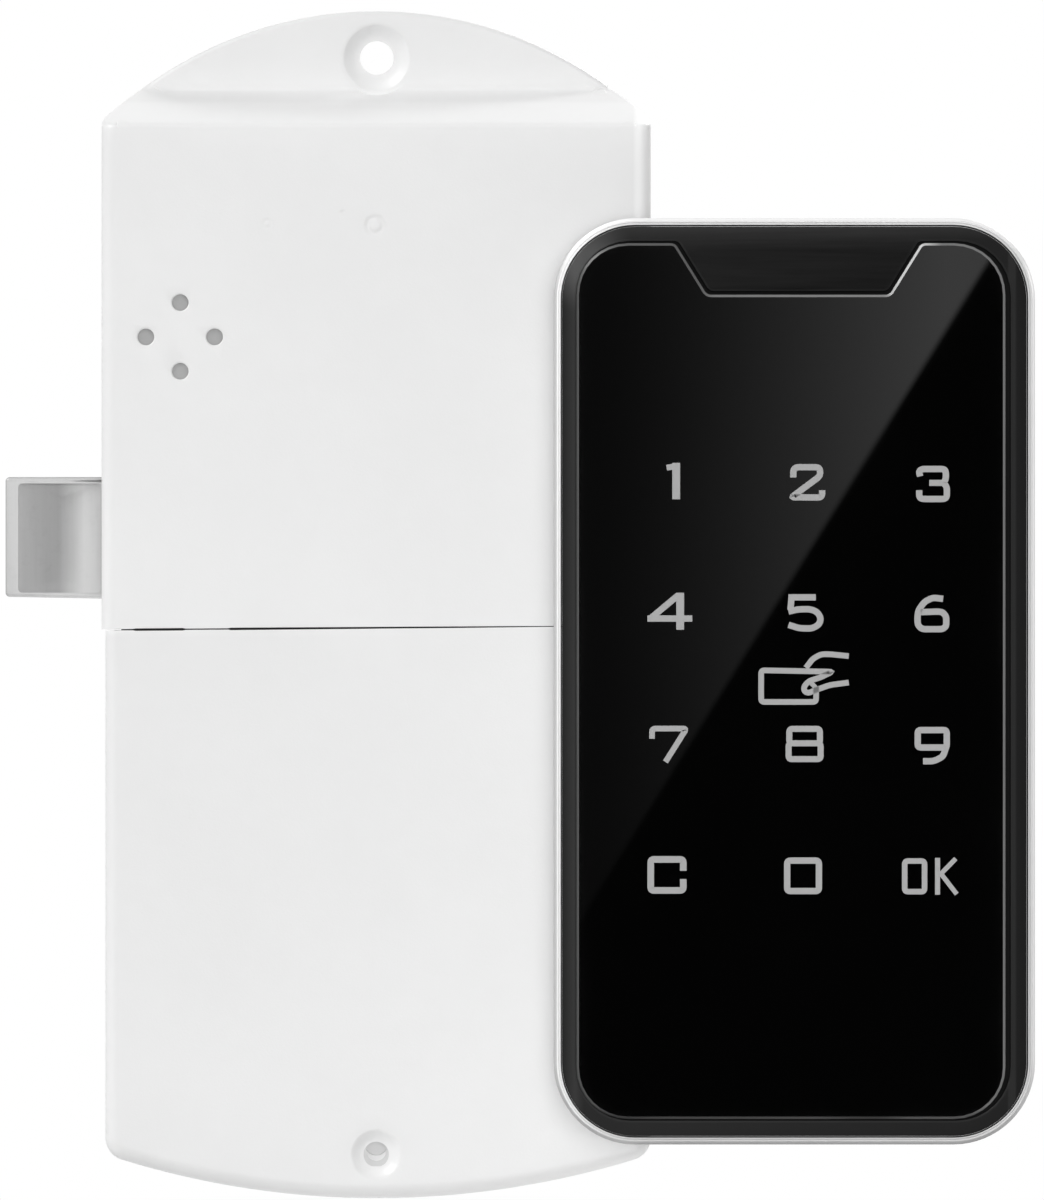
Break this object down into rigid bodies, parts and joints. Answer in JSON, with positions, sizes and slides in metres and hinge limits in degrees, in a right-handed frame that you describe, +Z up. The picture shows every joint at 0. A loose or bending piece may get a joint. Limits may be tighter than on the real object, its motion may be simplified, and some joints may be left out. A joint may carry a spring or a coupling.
{
  "type": "electronic cabinet lock",
  "caption": "Battery lock case with a sprung latch tongue drawn by a geared motor, beside its slim glass touch panel with number legends on two threaded posts.",
  "frame": {"origin": "on the door face, on the lock case's centre line, half-way between its two fixing holes", "axes": "+Z up along the lock case, +Y into the door, so that the case and the panel face -Y; +X to the right as seen from the front, away from the latch tongue"},
  "size_m": [0.134, 0.0403, 0.1548],
  "materials": {
    "white_case": "fine satin moulding",
    "base_plastic": "satin moulding",
    "cast_zinc": "satin die casting",
    "sled_plastic": "satin moulding",
    "spring_steel": "bright drawn wire",
    "motor_steel": "plated",
    "gear_brass": "machined",
    "nickel_plate": "nickel plated",
    "circuit_green": "solder mask",
    "chip_black": "moulded",
    "socket_white": "moulded",
    "buzzer_grey": "moulded",
    "rubber_black": "soft matt",
    "cell_wrap": "plain shrink wrap",
    "frame_silver": "bright satin",
    "bezel_black": "satin moulding",
    "touch_glass": "polished, printed black behind",
    "legend_white": "translucent film",
    "antenna_copper": "enamelled winding",
    "back_black": "fine texture",
    "post_brass": "turned"
  },
  "bodies": {
    "lock_frame": {"base_plate": "base_plastic", "upper_housing": "white_case", "drive_motor": "motor_steel", "gearbox": "gear_brass", "motor_bracket": "nickel_plate", "bracket_screw_1": "nickel_plate", "bracket_screw_2": "nickel_plate", "main_board": "circuit_green", "control_chip": "chip_black", "reservoir_capacitor": "motor_steel", "cable_socket": "socket_white", "motor_socket": "socket_white", "position_sensor": "chip_black", "set_switch": "chip_black", "buzzer": "buzzer_grey", "cable_grommet": "rubber_black", "battery_cell_1": "cell_wrap", "battery_cell_2": "cell_wrap", "battery_cell_3": "cell_wrap", "battery_cell_4": "cell_wrap", "cell_spring_1": "spring_steel", "cell_spring_2": "spring_steel", "cell_spring_3": "spring_steel", "cell_spring_4": "spring_steel", "contact_plate_1": "nickel_plate", "contact_plate_2": "nickel_plate", "contact_plate_3": "nickel_plate", "contact_plate_4": "nickel_plate", "contact_plate_5": "nickel_plate", "housing_screw_1": "nickel_plate", "housing_screw_2": "nickel_plate", "housing_screw_3": "nickel_plate", "housing_screw_4": "nickel_plate", "panel_frame": "frame_silver", "panel_bezel": "bezel_black", "touch_glass": "touch_glass", "legend_film": "legend_white", "touch_board": "circuit_green", "card_antenna": "antenna_copper", "touch_chip": "chip_black", "backlight_led_1": "socket_white", "backlight_led_2": "socket_white", "panel_socket": "socket_white", "panel_backplate": "back_black", "backplate_screw_1": "nickel_plate", "backplate_screw_2": "nickel_plate", "backplate_screw_3": "nickel_plate", "backplate_screw_4": "nickel_plate", "door_gasket": "rubber_black", "cable_bush": "rubber_black", "fixing_post_upper": "post_brass", "fixing_post_lower": "post_brass"},
    "bolt_sled": {"bolt_sled": "sled_plastic", "bolt_spring": "spring_steel"},
    "bolt_tongue": {"bolt_tongue": "cast_zinc"},
    "drive_pinion": {"drive_pinion": "gear_brass", "output_shaft": "motor_steel"},
    "battery_cover": {"battery_cover": "white_case"},
    "set_button": {"set_button": "socket_white"}
  },
  "joints": [
    {"name": "sled_slide", "type": "slide", "parent": "lock_frame", "child": "bolt_sled", "axis": [1, 0, 0], "range_m": [0, 0.0124]},
    {"name": "tongue_push", "type": "slide", "parent": "bolt_sled", "child": "bolt_tongue", "axis": [1, 0, 0], "range_m": [0, 0.0124], "stiffness_N_per_m": 60, "springref_m": -0.004, "deforming": ["bolt_spring"]},
    {"name": "pinion_spin", "type": "hinge", "parent": "lock_frame", "child": "drive_pinion", "pos_m": [-0.009, -0.0183, 0.0177], "axis": [0, 0, 1], "range_deg": [-198, 0]},
    {"name": "cover_slide", "type": "slide", "parent": "lock_frame", "child": "battery_cover", "axis": [0, 0, -1], "range_m": [0, 0.074]},
    {"name": "set_press", "type": "slide", "parent": "lock_frame", "child": "set_button", "axis": [0, 0, 1], "range_m": [0, 0.0005], "stiffness_N_per_m": 400, "springref_m": -0.0002}
  ],
  "couplings": [
    {"joint": "pinion_spin", "follows": "sled_slide", "rad_per_m": -277.78}
  ]
}
